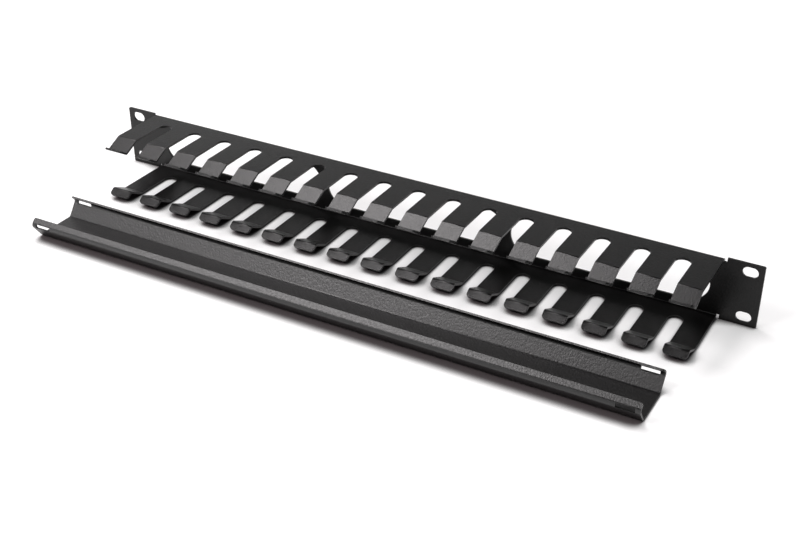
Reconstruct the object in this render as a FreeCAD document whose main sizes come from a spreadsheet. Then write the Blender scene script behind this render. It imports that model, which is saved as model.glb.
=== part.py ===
# Rack cable management panel, one rack unit high, with its clip-on cover taken off and laid in front.
# Millimetres. X runs across the rack, the fingers point towards -Y, and Z is up.
# The origin is the centre of the ears' four holes, on the rear face that bears on the rack.
import FreeCAD, Part
import math
import os

import Sketcher

# Driving sizes: the name of each cell, its value, and what it measures.
SIZES = [
    ("overall_width", 482.6, "over both ears, the 19-inch rack width"),
    ("ear_height", 43.6, "one rack unit less its clearance"),
    ("ear_corner", 1.0, "radius of the ears' outer corners"),
    ("sheet", 1.5, "thickness of the panel"),
    ("bend_radius", 0.8, "inside radius of the panel's folds"),
    ("ear_reach", 25.4, "how far an ear stands out beyond the flanges"),
    ("hole_inset", 8.75, "an ear's outer end to its hole centres, which are then 465.1 apart"),
    ("hole_rise", 31.75, "between the ears' hole centres, upwards"),
    ("hole_length", 10.0, "length of an ear's slotted hole"),
    ("hole_width", 7.0, "width of an ear's slotted hole"),
    ("relief_width", 1.7, "gap cut between an ear and the folded flange"),
    ("relief_depth", 3.0, "depth of that gap below the ear's edge"),
    ("flange_rise", 21.4, "outer face of each flange from the middle height"),
    ("flange_depth", 44.0, "rear face to the fold at the root of a finger tip"),
    ("finger_count", 17, "fingers along each flange, evenly spaced"),
    ("gap_width", 10.2, "width of the slot between two fingers"),
    ("gap_setback", 13.2, "rear face to the slots' round ends"),
    ("ramp_reach", 11.2, "forward run of a finger's slanted part"),
    ("ramp_drop", 5.35, "how far the slanted part closes in"),
    ("lip_reach", 4.5, "forward run of the lip at a finger's tip"),
    ("lip_rise", 3.0, "how far the lip opens out again"),
    ("lip_corner", 2.5, "radius of a lip's two corners"),
    ("window_count", 3, "cable openings in the back plate"),
    ("window_margin", 6.7, "a flange's end to the nearest cable opening"),
    ("window_height", 27.0, "height of a cable opening, round at both ends"),
    ("window_web", 5.2, "metal left between two cable openings"),
    ("cover_sheet", 1.2, "thickness of the cover"),
    ("cover_bend", 1.2, "inside radius of the fold between face and wall"),
    ("crease_bend", 1.8, "inside radius of the fold along a wall's crease"),
    ("end_overlap", 1.0, "how far the cover runs past each end of the flanges"),
    ("face_width", 28.6, "the cover's flat front face"),
    ("crease_clearance", 2.2, "inside of the crease to the fingers' lips, cover on"),
    ("crease_height", 11.1, "front face to the crease"),
    ("snap_hold", 0.9, "how far the cover's edge catches behind a lip"),
    ("cover_height", 15.4, "front face to the free edges"),
    ("rim_corner", 1.5, "radius at the ends of the cover's free edges"),
    ("notch_length", 11.7, "length of a cover slot"),
    ("notch_below", 1.9, "cover slot's near edge below the crease"),
    ("notch_above", 1.1, "cover slot's far edge above the crease"),
    ("notch_margin", 3.2, "cover's end to its slot"),
    ("cover_forward", 110.5, "rear face of the ears to the cover's middle, as laid down"),
    ("cover_shift", 4.4, "how far the cover lies to the left of the middle"),
]


class Size:
    """A length that knows its number and its expression over the sheet of sizes."""

    def __init__(self, number, text):
        self.number = number
        self.text = text

    def __add__(self, other):
        return Size(self.number + other.number, "({} + {})".format(self.text, other.text))

    def __sub__(self, other):
        return Size(self.number - other.number, "({} - {})".format(self.text, other.text))

    def __mul__(self, other):
        return Size(self.number * other.number, "({} * {})".format(self.text, other.text))

    def __truediv__(self, other):
        return Size(self.number / other.number, "({} / {})".format(self.text, other.text))

    def __neg__(self):
        return Size(-self.number, "(-1 * {})".format(self.text))


def write_sizes(doc):
    """Fill the sheet of sizes and return each size under its name."""
    sheet = doc.addObject("Spreadsheet::Sheet", "sizes")
    sizes = {}
    for row, (name, number, note) in enumerate(SIZES, start=1):
        sheet.set("A{}".format(row), name)
        sheet.set("B{}".format(row), str(number))
        sheet.set("C{}".format(row), note)
        sheet.setAlias("B{}".format(row), name)
        sizes[name] = Size(number, "sizes.{}".format(name))
    doc.recompute()
    return sizes


ZERO = Size(0, "0")
ONE = Size(1, "1")
TWO = Size(2, "2")


def flange_length(size):
    """The flanges reach from ear to ear."""
    return size["overall_width"] - TWO * size["ear_reach"]


def groove_height(size):
    """The upper face of a finger at its groove, from the middle height."""
    return size["flange_rise"] - size["ramp_drop"]


def lip_height(size):
    """The tip of a finger's lip, from the middle height."""
    return groove_height(size) + size["lip_rise"]


def origin_plane(body, plane):
    """The body's own origin plane of that role."""
    for feature in body.Origin.OriginFeatures:
        if feature.Role == plane:
            return feature
    raise ValueError(plane)


def new_sketch(body, name, plane):
    """A sketch on one of the body's own origin planes."""
    sketch = body.newObject("Sketcher::SketchObject", name)
    sketch.AttachmentSupport = [(origin_plane(body, plane), "")]
    sketch.MapMode = "FlatFace"
    return sketch


def drive(sketch, constraint, size):
    """Add a constraint whose value follows the sheet of sizes."""
    index = sketch.addConstraint(constraint)
    sketch.setExpression("Constraints[{}]".format(index), size.text)


def pin(sketch, curve, end, across, up):
    """Hold one end of a curve, or an arc's centre, at a place measured from the sketch's origin."""
    drive(sketch, Sketcher.Constraint("DistanceX", -1, 1, curve, end, across.number), across)
    drive(sketch, Sketcher.Constraint("DistanceY", -1, 1, curve, end, up.number), up)


def point(across, up):
    return FreeCAD.Vector(across, up, 0)


def draw_rectangle(sketch, left, right, low, high):
    """A rectangle held by two opposite corners."""
    corners = [(left, low), (right, low), (right, high), (left, high)]
    places = [point(across.number, up.number) for across, up in corners]
    first = sketch.GeometryCount
    for start in range(4):
        sketch.addGeometry(Part.LineSegment(places[start], places[(start + 1) % 4]), False)
    for start in range(4):
        sketch.addConstraint(Sketcher.Constraint("Coincident", first + start, 2, first + (start + 1) % 4, 1))
    for start in (0, 2):
        sketch.addConstraint(Sketcher.Constraint("Horizontal", first + start))
        sketch.addConstraint(Sketcher.Constraint("Vertical", first + start + 1))
    pin(sketch, first, 1, left, low)
    pin(sketch, first + 2, 1, right, high)


def draw_round_slot(sketch, middle_x, middle_y, length, width):
    """A level slot with a half circle at each end."""
    radius = width / TWO
    half = length / TWO - radius
    left = point((middle_x - half).number, middle_y.number)
    right = point((middle_x + half).number, middle_y.number)
    up = point(0, radius.number)
    quarter = math.pi / 2
    first = sketch.GeometryCount
    circle_left = Part.Circle(left, FreeCAD.Vector(0, 0, 1), radius.number)
    circle_right = Part.Circle(right, FreeCAD.Vector(0, 0, 1), radius.number)
    sketch.addGeometry(Part.ArcOfCircle(circle_left, quarter, 3 * quarter), False)
    sketch.addGeometry(Part.LineSegment(left - up, right - up), False)
    sketch.addGeometry(Part.ArcOfCircle(circle_right, -quarter, quarter), False)
    sketch.addGeometry(Part.LineSegment(right + up, left + up), False)
    for start in range(4):
        sketch.addConstraint(Sketcher.Constraint("Tangent", first + start, 2, first + (start + 1) % 4, 1))
    pin(sketch, first, 3, middle_x - half, middle_y)
    pin(sketch, first + 2, 3, middle_x + half, middle_y)
    drive(sketch, Sketcher.Constraint("Radius", first, radius.number), radius)


def draw_open_slot(sketch, middle, root, width, front):
    """A slot that starts with a half circle at root and runs out past front, towards -Y."""
    radius = width / TWO
    centre = root - radius
    across = point(radius.number, 0)
    place = point(middle.number, centre.number)
    mouth = point(middle.number, front.number)
    first = sketch.GeometryCount
    circle = Part.Circle(place, FreeCAD.Vector(0, 0, 1), radius.number)
    sketch.addGeometry(Part.ArcOfCircle(circle, 0, math.pi), False)
    sketch.addGeometry(Part.LineSegment(place - across, mouth - across), False)
    sketch.addGeometry(Part.LineSegment(mouth - across, mouth + across), False)
    sketch.addGeometry(Part.LineSegment(mouth + across, place + across), False)
    sketch.addConstraint(Sketcher.Constraint("Tangent", first, 2, first + 1, 1))
    sketch.addConstraint(Sketcher.Constraint("Tangent", first + 3, 2, first, 1))
    sketch.addConstraint(Sketcher.Constraint("Coincident", first + 1, 2, first + 2, 1))
    sketch.addConstraint(Sketcher.Constraint("Coincident", first + 2, 2, first + 3, 1))
    sketch.addConstraint(Sketcher.Constraint("Horizontal", first + 2))
    sketch.addConstraint(Sketcher.Constraint("Vertical", first + 1))
    sketch.addConstraint(Sketcher.Constraint("Vertical", first + 3))
    pin(sketch, first, 3, middle, centre)
    drive(sketch, Sketcher.Constraint("Radius", first, radius.number), radius)
    drive(sketch, Sketcher.Constraint("DistanceY", -1, 1, first + 2, 1, front.number), front)


def inside_points(outer, sheet, side):
    """The other face of a sheet that follows the outer points, with its corners still sharp."""
    normals = []
    for start, end in zip(outer, outer[1:]):
        along = (end - start).normalize()
        normals.append(FreeCAD.Vector(-along.y, along.x, 0) * side)
    inner = [outer[0] + normals[0] * sheet]
    for corner, before, after in zip(outer[1:], normals, normals[1:]):
        inner.append(corner + (before + after) * (sheet / (1 + before.dot(after))))
    inner.append(outer[-1] + normals[-1] * sheet)
    return inner


def draw_folded_sheet(sketch, path, sheet, side):
    """Half the section of a folded sheet: its outer face follows the path, which starts on an axis.

    Returns the corners of both faces, sharp, as the folds' fillets need them.
    """
    outer = [point(across.number, up.number) for across, up in path]
    inner = inside_points(outer, sheet.number, side)
    outline = outer + inner[::-1]
    total = len(outline)
    for start in range(total):
        sketch.addGeometry(Part.LineSegment(outline[start], outline[(start + 1) % total]), False)
    for start in range(total):
        sketch.addConstraint(Sketcher.Constraint("Coincident", start, 2, (start + 1) % total, 1))
    for index, (across, up) in enumerate(path[1:], start=1):
        pin(sketch, index, 1, across, up)
    # Each inner face lies parallel to its outer face, one sheet away.
    folds = len(path) - 1
    for index in range(folds):
        twin = total - 2 - index
        sketch.addConstraint(Sketcher.Constraint("Parallel", index, twin))
        drive(sketch, Sketcher.Constraint("Distance", twin, 2, index, sheet.number), sheet)
    # The free edge is square to the sheet, and the start lies on the axis of symmetry.
    sketch.addConstraint(Sketcher.Constraint("Perpendicular", folds - 1, folds))
    sketch.addConstraint(Sketcher.Constraint("PointOnObject", 0, 1, -1))
    sketch.addConstraint(Sketcher.Constraint("PointOnObject", 0, 1, -2))
    sketch.addConstraint(Sketcher.Constraint("Perpendicular", 0, total - 1))
    return outer, inner


def pad(body, sketch, name, length, both_ways=False):
    """Thicken a sketch, towards its normal or equally both ways."""
    feature = body.newObject("PartDesign::Pad", name)
    feature.Profile = sketch
    feature.SideType = "Symmetric" if both_ways else "One side"
    feature.Length = length.number
    feature.setExpression("Length", length.text)
    return feature


def pocket(body, sketch, name, length, towards_normal=False, both_ways=False):
    """Cut a sketch out of the body and check that the cut took metal away."""
    body.Document.recompute()
    before = body.Shape.Volume
    feature = body.newObject("PartDesign::Pocket", name)
    feature.Profile = sketch
    feature.SideType = "Symmetric" if both_ways else "One side"
    feature.Reversed = towards_normal
    feature.Length = length.number
    feature.setExpression("Length", length.text)
    body.Document.recompute()
    if not body.Shape.Volume < before:
        raise RuntimeError("{} cuts nothing".format(name))
    return feature


def repeat_across(body, feature, name, pitch, count):
    """Repeat a feature along X at a pitch."""
    pattern = body.newObject("PartDesign::LinearPattern", name)
    pattern.Originals = [feature]
    pattern.Direction = (feature.Profile[0], ["H_Axis"])
    pattern.Mode = "Spacing"
    pattern.Offset = pitch.number
    pattern.setExpression("Offset", pitch.text)
    pattern.Occurrences = int(count.number)
    pattern.setExpression("Occurrences", count.text)
    body.Tip = pattern
    return pattern


def mirror(body, name, plane, originals=None):
    """Mirror some features, or the whole shape where none are named, across an origin plane."""
    feature = body.newObject("PartDesign::Mirrored", name)
    if originals:
        feature.Originals = originals
    else:
        feature.TransformMode = "Whole shape"
    feature.MirrorPlane = (origin_plane(body, plane), [""])
    body.Tip = feature
    body.Document.recompute()
    return feature


def round_edges(body, name, radius, chosen):
    """Fillet the edges of the body's present shape that the test picks."""
    body.Document.recompute()
    base = body.Tip
    names = []
    for number, edge in enumerate(base.Shape.Edges, start=1):
        if chosen(edge):
            names.append("Edge{}".format(number))
    if not names:
        raise RuntimeError("{} finds no edge".format(name))
    feature = body.newObject("PartDesign::Fillet", name)
    feature.Base = (base, names)
    feature.Radius = radius.number
    feature.setExpression("Radius", radius.text)
    body.Document.recompute()
    return feature


def runs_through(spot):
    """A test for edges parallel to X that pass through a corner of the folded section."""
    def chosen(edge):
        ends = [vertex.Point for vertex in edge.Vertexes]
        return all(abs(end.y - spot.x) < 0.01 and abs(end.z - spot.y) < 0.01 for end in ends)
    return chosen


def round_fold(body, name, inner_corner, outer_corner, radius, sheet):
    """Round one fold of a sheet: its inside by the radius, its outside by one sheet more."""
    round_edges(body, name + "_inside", radius, runs_through(inner_corner))
    round_edges(body, name + "_outside", radius + sheet, runs_through(outer_corner))


def build_panel(doc, size):
    """The back plate with its ears, both slotted flanges and the folded finger tips, as one sheet."""
    body = doc.addObject("PartDesign::Body", "finger_panel")
    body.Label = "finger_panel"
    sheet = size["sheet"]
    flange_span = flange_length(size)
    finger_pitch = (flange_span + size["gap_width"]) / size["finger_count"]
    tip_front = size["flange_depth"] + size["ramp_reach"] + size["lip_reach"]
    ear_top = size["ear_height"] / TWO

    # The upper half of the section, from the middle height up and out to the lip.
    section = new_sketch(body, "flange_section", "YZ_Plane")
    path = [
        (ZERO, ZERO),
        (ZERO, size["flange_rise"]),
        (-size["flange_depth"], size["flange_rise"]),
        (-(size["flange_depth"] + size["ramp_reach"]), groove_height(size)),
        (-tip_front, lip_height(size)),
    ]
    outer, inner = draw_folded_sheet(section, path, sheet, 1)
    pad(body, section, "flange", flange_span, both_ways=True)
    bend = size["bend_radius"]
    round_fold(body, "root_fold", inner[1], outer[1], bend, sheet)
    round_fold(body, "knee_fold", inner[2], outer[2], bend, sheet)
    round_fold(body, "groove_fold", outer[3], inner[3], bend, sheet)

    # One ear beyond the flange, parted from the fold by a relief gap, and its twin at the other end.
    span_end = flange_span / TWO
    ear_sketch = new_sketch(body, "ear_outline", "XZ_Plane")
    draw_rectangle(ear_sketch, span_end, size["overall_width"] / TWO, ZERO, ear_top)
    ear = pad(body, ear_sketch, "ear", sheet)
    relief_sketch = new_sketch(body, "relief_outline", "XZ_Plane")
    draw_rectangle(
        relief_sketch,
        span_end,
        span_end + size["relief_width"],
        ear_top - size["relief_depth"],
        ear_top + sheet,
    )
    relief = pocket(body, relief_sketch, "relief", sheet, towards_normal=True)
    mirror(body, "both_ears", "YZ_Plane", [ear, relief])
    mirror(body, "lower_half", "XY_Plane")

    # The gaps between the fingers pass through both flanges.
    gap_sketch = new_sketch(body, "finger_gap_outline", "XY_Plane")
    gap_middle = -(size["finger_count"] / TWO - ONE) * finger_pitch
    draw_open_slot(gap_sketch, gap_middle, -size["gap_setback"], size["gap_width"], -(tip_front + sheet))
    gap = pocket(body, gap_sketch, "finger_gap", size["ear_height"] + sheet, both_ways=True)
    repeat_across(body, gap, "finger_gaps", finger_pitch, size["finger_count"] - ONE)

    # The cable openings in the back plate share its length evenly.
    windows_run = flange_span - TWO * size["window_margin"] + size["window_web"]
    window_pitch = windows_run / size["window_count"]
    window_length = window_pitch - size["window_web"]
    window_sketch = new_sketch(body, "window_outline", "XZ_Plane")
    first_window = -(size["window_count"] - ONE) / TWO * window_pitch
    draw_round_slot(window_sketch, first_window, ZERO, window_length, size["window_height"])
    window = pocket(body, window_sketch, "window", sheet, towards_normal=True)
    repeat_across(body, window, "windows", window_pitch, size["window_count"])

    # The four slotted holes of the ears.
    hole_sketch = new_sketch(body, "hole_outlines", "XZ_Plane")
    hole_across = size["overall_width"] / TWO - size["hole_inset"]
    for across in (-hole_across, hole_across):
        for up in (-size["hole_rise"] / TWO, size["hole_rise"] / TWO):
            draw_round_slot(hole_sketch, across, up, size["hole_length"], size["hole_width"])
    pocket(body, hole_sketch, "ear_holes", sheet, towards_normal=True)

    # The lips' corners, where each tip's short edges stand across the sheet.
    lip_start = -(tip_front - sheet).number

    def at_lip_corner(edge):
        return edge.Length < 1.01 * sheet.number and edge.CenterOfMass.y < lip_start

    round_edges(body, "lip_corners", size["lip_corner"], at_lip_corner)

    # The ears' outer corners.
    ear_end = size["overall_width"].number / 2

    def at_ear_corner(edge):
        centre = edge.CenterOfMass
        at_end = abs(abs(centre.x) - ear_end) < 0.01 and edge.Length < 1.01 * sheet.number
        return at_end and abs(abs(centre.z) - ear_top.number) < 0.01

    round_edges(body, "ear_corners", size["ear_corner"], at_ear_corner)
    return body


def build_cover(doc, size):
    """The channel that clips over the finger tips, lying on its front face, inside up."""
    body = doc.addObject("PartDesign::Body", "cover")
    body.Label = "cover"
    sheet = size["cover_sheet"]
    length = flange_length(size) + TWO * size["end_overlap"]
    crease = lip_height(size) + size["crease_clearance"] + sheet
    mouth = lip_height(size) - size["snap_hold"]

    # Half the section: the face, the flaring wall and the edge that closes in behind the lips.
    section = new_sketch(body, "cover_section", "YZ_Plane")
    path = [
        (ZERO, ZERO),
        (size["face_width"] / TWO, ZERO),
        (crease, size["crease_height"]),
        (mouth, size["cover_height"]),
    ]
    outer, inner = draw_folded_sheet(section, path, sheet, 1)
    pad(body, section, "half_channel", length, both_ways=True)
    round_fold(body, "face_fold", inner[1], outer[1], size["cover_bend"], sheet)
    round_fold(body, "crease_fold", inner[2], outer[2], size["crease_bend"], sheet)
    mirror(body, "other_half", "XZ_Plane")

    # A slot across each wall's crease, near both ends.
    notch_sketch = new_sketch(body, "notch_outline", "XZ_Plane")
    start = -length / TWO + size["notch_margin"]
    draw_rectangle(
        notch_sketch,
        start,
        start + size["notch_length"],
        size["crease_height"] - size["notch_below"],
        size["crease_height"] + size["notch_above"],
    )
    notch = pocket(body, notch_sketch, "notch", TWO * crease + sheet, both_ways=True)
    notch_pitch = length - TWO * size["notch_margin"] - size["notch_length"]
    repeat_across(body, notch, "notches", notch_pitch, TWO)

    # The ends of the free edges.
    rim = (size["cover_height"] - sheet).number

    def at_rim_corner(edge):
        return edge.Length < 1.01 * sheet.number and edge.CenterOfMass.z > rim

    round_edges(body, "rim_corners", size["rim_corner"], at_rim_corner)

    lies_at = {
        "x": -size["cover_shift"],
        "y": -size["cover_forward"],
        "z": -size["ear_height"] / TWO,
    }
    body.Placement = FreeCAD.Placement(
        FreeCAD.Vector(*[place.number for place in lies_at.values()]), FreeCAD.Rotation()
    )
    for axis, place in lies_at.items():
        body.setExpression("Placement.Base.{}".format(axis), place.text)
    return body


def check(doc, bodies):
    """Stop if any object failed, or if a piece is not one valid solid."""
    for thing in doc.Objects:
        if "Invalid" in thing.State or "Error" in thing.State:
            raise RuntimeError("{} failed: {}".format(thing.Name, thing.State))
    for body in bodies:
        shape = body.Shape
        if shape.isNull() or not shape.isValid() or len(shape.Solids) != 1:
            raise RuntimeError("{} is not one valid solid".format(body.Label))


def main():
    doc = FreeCAD.newDocument("rack_finger_panel")
    size = write_sizes(doc)
    bodies = [build_panel(doc, size), build_cover(doc, size)]
    doc.recompute()
    check(doc, bodies)
    os.makedirs("parts", exist_ok=True)
    for body in bodies:
        body.Shape.exportStep("parts/{}.step".format(body.Label))
        print(body.Label, "volume", round(body.Shape.Volume), "box", body.Shape.BoundBox)


main()
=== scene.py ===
# %% [markdown]
# # A finger panel and its cover, dressed for a studio picture
#
# A finger panel sits in a 19-inch rack and keeps patch cords in order: the cords lie in its tray
# and leave it through the gaps between the fingers. Its cover is a long channel that clips over the
# finger tips. Here the cover is off and lies in front, on its face, with its inside up.
#
# Both pieces come from the construction model, already folded and punched, so this lesson gives
# them what a sheet-metal shop gives them next: rounded edges, and a coat of powder paint.

import math

import bpy
import bmesh
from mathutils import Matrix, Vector


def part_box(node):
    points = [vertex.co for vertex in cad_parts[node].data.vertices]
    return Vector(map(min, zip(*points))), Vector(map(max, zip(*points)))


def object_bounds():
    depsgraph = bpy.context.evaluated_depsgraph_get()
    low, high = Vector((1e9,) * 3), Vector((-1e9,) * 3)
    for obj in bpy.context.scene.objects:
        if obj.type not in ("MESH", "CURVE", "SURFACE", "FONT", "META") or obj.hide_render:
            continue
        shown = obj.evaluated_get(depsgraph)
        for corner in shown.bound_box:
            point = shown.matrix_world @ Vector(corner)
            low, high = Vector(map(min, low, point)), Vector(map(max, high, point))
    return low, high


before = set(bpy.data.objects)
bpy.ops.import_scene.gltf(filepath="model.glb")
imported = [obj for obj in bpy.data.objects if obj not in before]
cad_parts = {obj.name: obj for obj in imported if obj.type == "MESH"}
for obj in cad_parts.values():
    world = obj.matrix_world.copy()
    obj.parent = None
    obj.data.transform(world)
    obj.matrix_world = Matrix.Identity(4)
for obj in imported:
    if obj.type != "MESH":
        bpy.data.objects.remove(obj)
built_low, built_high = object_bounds()
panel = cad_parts["finger_panel"]
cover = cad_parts["cover"]
for sheet in (panel, cover):
    low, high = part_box(sheet.name)
    print(sheet.name, [round(1000 * side, 1) for side in high - low], "mm")

# %% [markdown]
# ## Small tools
#
# Sizes are easier to think about in millimetres, but the scene is in metres. Colours are written
# the way a paint program shows them, as sRGB hex codes, while shaders mix light in linear numbers.
# One function turns such a code into linear light, and one turns the distance between two lumps of
# a pattern, in millimetres, into the scale that its node asks for.

# %% Millimetres and colours
MM = 0.001


def linear(code):
    """The linear colour, with alpha 1, of an sRGB hex code such as #0e0d0d."""
    parts = [int(code[start:start + 2], 16) / 255 for start in (1, 3, 5)]
    light = [part / 12.92 if part <= 0.04045 else ((part + 0.055) / 1.055) ** 2.4
             for part in parts]
    return (*light, 1.0)


def waves_per_metre(millimetres):
    """The scale of a noise whose lumps are about this far apart."""
    return 1 / (millimetres * MM)


print("black #0e0d0d is", [round(part, 4) for part in linear("#0e0d0d")[:3]], "in linear light")

# %% [markdown]
# Every material below is a small network of nodes. Adding a node always takes the same three
# steps: make it, set its values, and link what feeds it. So one function does the three for any
# kind of node, and each material then reads as a list of what its nodes are for.

# %% One function for every node


def add(tree, kind, values=None, feeds=None, **settings):
    """A new node of this kind in tree, with its settings, its sockets' values and its links."""
    made = tree.nodes.new(kind)
    for name, value in settings.items():
        setattr(made, name, value)
    for socket, value in (values or {}).items():
        made.inputs[socket].default_value = value
    for socket, source in (feeds or {}).items():
        tree.links.new(source, made.inputs[socket])
    return made


# %% [markdown]
# ## The edges of the sheet
#
# A punched edge is sharp, but powder paint flows a little in the oven and rounds it off to a tenth
# or two of a millimetre. That small radius is what draws the thin line along each finger. The
# construction model's edges are perfectly sharp, so they would show no line at all.
#
# The folded sheets' own meshes stay as they are. Two modifiers do the work: Weld joins the loose
# triangles into one skin, and Bevel rounds only the edges where the skin turns by more than 40
# degrees. The folds are drawn in steps of under 10 degrees, so Bevel leaves them alone.

# %% Round the painted edges
SAME_POINT = 0.002 * MM
PAINTED_EDGE = 0.15 * MM
SHARP_TURN = math.radians(40)


def round_painted_edges(sheet):
    """Welds the sheet's triangles into one skin and rounds its punched edges."""
    weld = sheet.modifiers.new("one_skin", "WELD")
    weld.merge_threshold = SAME_POINT
    bevel = sheet.modifiers.new("painted_edges", "BEVEL")
    bevel.width = PAINTED_EDGE
    bevel.segments = 2
    bevel.profile = 0.5
    bevel.limit_method = "ANGLE"
    bevel.angle_limit = SHARP_TURN
    bevel.use_clamp_overlap = True
    bevel.harden_normals = True
    bevel.material = -1


for sheet in (panel, cover):
    round_painted_edges(sheet)
depsgraph = bpy.context.evaluated_depsgraph_get()
for sheet in (panel, cover):
    faces = len(sheet.evaluated_get(depsgraph).data.polygons)
    print(sheet.name, "has", faces, "faces with its edges rounded")

# %% [markdown]
# ## Powder coat
#
# The panel and its cover are cold-rolled steel with a black polyester powder coat. The powder is
# sprayed on dry and melts in an oven, so it never gets as smooth as liquid paint: it keeps a fine
# grain, like orange peel. Seen straight on it is a flat, near black surface. Seen at a shallow
# angle, or where it faces the lamps, the grain spreads their light into a soft grey.
#
# So the coat is a plain dielectric, not a metal, for the paint hides the steel. Three patterns make
# it look baked rather than computed. A soft noise and a pattern of small cells add up to the grain,
# which is a bump, and where the noise is high the coat is a little duller. A slow noise changes the
# black itself a little every few centimetres, where the coat is thicker.
#
# The cover has a wrinkle finish: its grain is deeper, drawn out a little down the sheet, and looks
# like fine leather. Real grain is a third of a millimetre across, which would be too fine to show
# from here, so both are drawn about three times as coarse.

# %% The coat as a material
SLOW_WAVE = 38  # millimetres from one thicker place of the coat to the next
CELL_TO_LUMP = 1.15  # the cells are a little larger than the noise's lumps
CELL_SHARE = 0.6  # of the grain's height, against 1 for the noise


def powder_coat(name, grain, depth, gloss, mirror, draw=1.0):
    """Black powder coat whose lumps are grain millimetres across and depth high.

    gloss is the roughness from the lowest to the highest lumps, and mirror the specular level.
    The lumps are draw times as long down the sheet as along it.
    """
    made = bpy.data.materials.new(name)
    made.use_nodes = True
    tree = made.node_tree
    tree.nodes.clear()
    place = add(tree, "ShaderNodeTexCoord").outputs["Object"]
    drawn = add(tree, "ShaderNodeMapping", {"Scale": (1.0, 1 / draw, 1 / draw)},
                {"Vector": place}).outputs["Vector"]

    slow = add(tree, "ShaderNodeTexNoise", {"Scale": waves_per_metre(SLOW_WAVE), "Detail": 2.0},
               {"Vector": place})
    lumps = add(tree, "ShaderNodeTexNoise",
                {"Scale": waves_per_metre(grain), "Detail": 3.0, "Roughness": 0.55,
                 "Distortion": 0.35}, {"Vector": drawn})
    cells = add(tree, "ShaderNodeTexVoronoi",
                {"Scale": waves_per_metre(grain * CELL_TO_LUMP), "Smoothness": 0.6},
                {"Vector": drawn}, feature="SMOOTH_F1")

    tone = add(tree, "ShaderNodeMapRange",
               {"From Min": 0.3, "From Max": 0.7, "To Min": 0.0, "To Max": 1.0},
               {"Value": slow.outputs["Fac"]})
    colour = add(tree, "ShaderNodeMix", {"A": linear("#080808"), "B": linear("#0e0d0d")},
                 {"Factor": tone.outputs["Result"]}, data_type="RGBA")

    height = add(tree, "ShaderNodeMath", {1: CELL_SHARE},
                 {0: cells.outputs["Distance"], 2: lumps.outputs["Fac"]},
                 operation="MULTIPLY_ADD")
    shine = add(tree, "ShaderNodeMapRange",
                {"From Min": 0.35, "From Max": 0.65, "To Min": gloss[0], "To Max": gloss[1]},
                {"Value": lumps.outputs["Fac"]})
    bump = add(tree, "ShaderNodeBump", {"Strength": 1.0, "Distance": depth * MM},
               {"Height": height.outputs["Value"]})
    coat = add(tree, "ShaderNodeBsdfPrincipled", {"IOR": 1.5, "Specular IOR Level": mirror},
               {"Base Color": colour.outputs["Result"], "Roughness": shine.outputs["Result"],
                "Normal": bump.outputs["Normal"]})
    add(tree, "ShaderNodeOutputMaterial", feeds={"Surface": coat.outputs["BSDF"]})
    return made


fine_coat = powder_coat("black_powder_coat_fine", grain=0.85, depth=0.08,
                        gloss=(0.28, 0.38), mirror=0.34)
leather_coat = powder_coat("black_powder_coat_leather", grain=1.0, depth=0.10,
                           gloss=(0.36, 0.46), mirror=0.66, draw=1.3)
for sheet, coat in ((panel, fine_coat), (cover, leather_coat)):
    for slot in sheet.material_slots:
        slot.material = coat
    print(sheet.name, "is coated with", coat.name)

# %% [markdown]
# ## The sweep
#
# Studios photograph small goods on a sweep: white paper that lies flat under them and curves up
# behind, so that no horizon shows. This one curves up all round, for the pieces are looked at from
# every side. Its half profile is a line from the middle outwards, a quarter turn and a low wall,
# and spinning that line once about the middle makes the whole dish. It lies a hair under the
# pieces, so that no two faces share a plane.

# %% Spin the sweep
TABLE, FLAT, TURN, WALL = 0.6, 3.2, 0.6, 0.9  # metres
TURN_STEP = 15  # degrees
HAIR = 0.05 * MM
lowest = min(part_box(name)[0].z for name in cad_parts)
shape = bmesh.new()
steps = [Vector((0, 0, 0)), Vector((TABLE, 0, 0)), Vector((FLAT, 0, 0))]
steps += [Vector((FLAT + TURN * math.sin(angle), 0, TURN - TURN * math.cos(angle)))
          for angle in [math.radians(TURN_STEP * step) for step in range(1, 90 // TURN_STEP + 1)]]
steps.append(Vector((FLAT + TURN, 0, TURN + WALL)))
line = [shape.verts.new(step) for step in steps]
rim = [shape.edges.new(pair) for pair in zip(line, line[1:])]
bmesh.ops.spin(shape, geom=line + rim, cent=(0, 0, 0), axis=(0, 0, 1), angle=math.tau,
               steps=72, use_merge=True)
bmesh.ops.remove_doubles(shape, verts=shape.verts, dist=0.1 * MM)
bmesh.ops.recalc_face_normals(shape, faces=shape.faces)
if sum(face.normal.z for face in shape.faces) < 0:
    bmesh.ops.reverse_faces(shape, faces=shape.faces)
bmesh.ops.translate(shape, verts=shape.verts, vec=(0, 0, lowest - HAIR))
for face in shape.faces:
    face.smooth = True
sweep_mesh = bpy.data.meshes.new("white_sweep")
shape.to_mesh(sweep_mesh)
shape.free()
sweep = bpy.data.objects.new("white_sweep", sweep_mesh)
bpy.context.scene.collection.objects.link(sweep)
print("the sweep lies at", round(1000 * lowest, 2), "mm and has", len(sweep_mesh.polygons), "faces")
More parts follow.
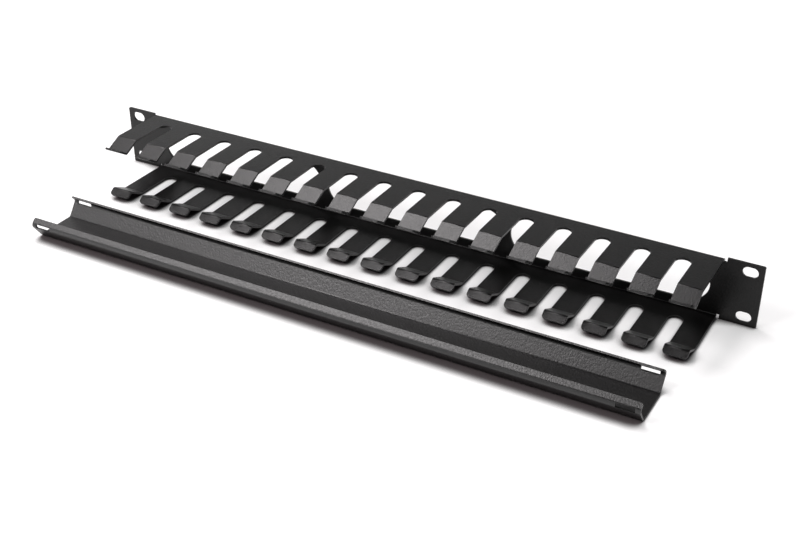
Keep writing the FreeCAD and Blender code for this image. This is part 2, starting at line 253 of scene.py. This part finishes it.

# %% [markdown]
# The paper is plain white and matt. Near the pieces the lamps light it, and it keeps their
# shadows. Further out the lamps fade, where a studio would light the paper on its own. Here the
# paper glows a little instead, more with each step outwards, and only towards the camera and
# mirrored or clear surfaces, so it adds no light of its own to the pieces.
#
# Right beside a piece, and under it, the paper is painted darker and a little warm. This is painted
# shade, added on top of the lamps' own shadows. An Ambient Occlusion node tells how much of the sky
# within
# 11 mm of each point is free, so that the paper can turn darker and lose its glow only there. This
# paints the soft dark rim, a painted contact shadow, that seats each finger tip and the whole cover
# on the floor.

# %% White paper
CLOSE_BY = 11 * MM
NOOK, OPEN = 0.40, 0.95  # the share of free sky where paper is darkest, and where it is plain
# SHADED_PAPER is painted shade: the dark, warm colour the paper takes in the nooks beside and under
# the pieces.
SHADED_PAPER, OPEN_PAPER = linear("#645e5f"), linear("#c8c8c8")
GLOW_STARTS, GLOW_FULL = 0.10, 0.75  # metres from the middle
FAINT_GLOW, FULL_GLOW = 0.40, 1.0

paper = bpy.data.materials.new("white_paper")
paper.use_nodes = True
tree = paper.node_tree
tree.nodes.clear()
place = add(tree, "ShaderNodeTexCoord").outputs["Object"]

# How much of the sky is free, and the painted shade that darkens the paper's colour there.
nook = add(tree, "ShaderNodeAmbientOcclusion", {"Distance": CLOSE_BY}, samples=16)
open_sky = add(tree, "ShaderNodeMapRange",
               {"From Min": NOOK, "From Max": OPEN, "To Min": 0.0, "To Max": 1.0},
               {"Value": nook.outputs["AO"]}, interpolation_type="SMOOTHSTEP")
painted_shade = add(tree, "ShaderNodeMix", {"A": SHADED_PAPER, "B": OPEN_PAPER},
            {"Factor": open_sky.outputs["Result"]}, data_type="RGBA")
matt = add(tree, "ShaderNodeBsdfDiffuse", feeds={"Color": painted_shade.outputs["Result"]})

# The glow: stronger further out, none in a nook, and only for what looks straight at the paper.
seen = add(tree, "ShaderNodeLightPath")
straight = add(tree, "ShaderNodeMath", operation="MAXIMUM",
               feeds={0: seen.outputs["Is Camera Ray"], 1: seen.outputs["Is Glossy Ray"]})
shown = add(tree, "ShaderNodeMath", operation="MAXIMUM",
            feeds={0: straight.outputs["Value"], 1: seen.outputs["Is Transmission Ray"]})
outwards = add(tree, "ShaderNodeVectorMath", operation="LENGTH", feeds={0: place})
level = add(tree, "ShaderNodeMapRange",
            {"From Min": GLOW_STARTS, "From Max": GLOW_FULL,
             "To Min": FAINT_GLOW, "To Max": FULL_GLOW},
            {"Value": outwards.outputs["Value"]})
unshaded = add(tree, "ShaderNodeMath", operation="MULTIPLY",
               feeds={0: level.outputs["Result"], 1: open_sky.outputs["Result"]})
glow = add(tree, "ShaderNodeMath", operation="MULTIPLY",
           feeds={0: unshaded.outputs["Value"], 1: shown.outputs["Value"]})
light = add(tree, "ShaderNodeEmission", {"Color": linear("#ffffff")},
            {"Strength": glow.outputs["Value"]})

both = add(tree, "ShaderNodeAddShader",
           feeds={0: matt.outputs["BSDF"], 1: light.outputs["Emission"]})
add(tree, "ShaderNodeOutputMaterial", feeds={"Surface": both.outputs["Shader"]})
sweep_mesh.materials.append(paper)
print("white paper on", sweep.name)

# %% [markdown]
# ## Light
#
# A black object is drawn by what it mirrors, not by its own colour. The slanted parts of the
# fingers mirror what is above them and a little to the left, so one large soft box hangs there and
# turns them grey, while the flat flanges mirror the room behind. A second box stands to the left in
# front, where the cover's far wall and near edge mirror it, and brings out their grain. The room
# itself gives an even, weak light that keeps the shaded insides readable.

# %% Two soft boxes and a dim room
middle = (built_low + built_high) / 2


def soft_box(name, place, width, height, brightness):
    """A lamp of this width and height in metres, facing the pieces from place.

    A lamp of brightness 1 would itself look plain white, neither brighter nor greyer.
    """
    lamp = bpy.data.lights.new(name, "AREA")
    lamp.shape = "RECTANGLE"
    lamp.size = width
    lamp.size_y = height
    lamp.energy = brightness * math.pi * width * height
    lamp.color = linear("#fffbfc")[:3]
    hung = bpy.data.objects.new(name, lamp)
    hung.location = place
    hung.rotation_mode = "QUATERNION"
    hung.rotation_quaternion = (middle - Vector(place)).to_track_quat("-Z", "Y")
    bpy.context.scene.collection.objects.link(hung)


soft_box("overhead_box", (-0.97, 0.20, 2.08), width=1.35, height=0.85, brightness=12)
soft_box("front_box", (-1.08, -1.42, 1.62), width=1.1, height=0.85, brightness=12)

world = bpy.data.worlds.new("dim_room")
world.use_nodes = True
bpy.context.scene.world = world
tree = world.node_tree
tree.nodes.clear()
room = add(tree, "ShaderNodeBackground", {"Color": linear("#ffffff"), "Strength": 0.09})
add(tree, "ShaderNodeOutputWorld", feeds={"Surface": room.outputs["Background"]})

# %% [markdown]
# ## Camera
#
# The picture was taken from the front, 27 degrees round to the right and 32 degrees above the
# table, from a little under a metre away. The place, turn and lens below were worked out from the
# rack's own sizes: the ear holes are 465.1 mm apart one way and 31.75 mm the other.

# %% Look at it as the picture does
lens = bpy.data.cameras.new("picture_camera")
lens.sensor_width = 36
lens.lens = 57.34
lens.shift_x = -0.0544
lens.shift_y = 0.0340
lens.clip_start = 0.02
lens.clip_end = 20
camera = bpy.data.objects.new("picture_camera", lens)
camera.location = (0.3671, -0.6783, 0.4065)
camera.rotation_euler = [math.radians(turn) for turn in (58.318, -1.046, 27.476)]
bpy.context.scene.collection.objects.link(camera)
bpy.context.scene.camera = camera
bpy.context.scene.view_settings.view_transform = "Standard"
print("camera", round((camera.location - middle).length, 3), "m from the middle of the pieces")
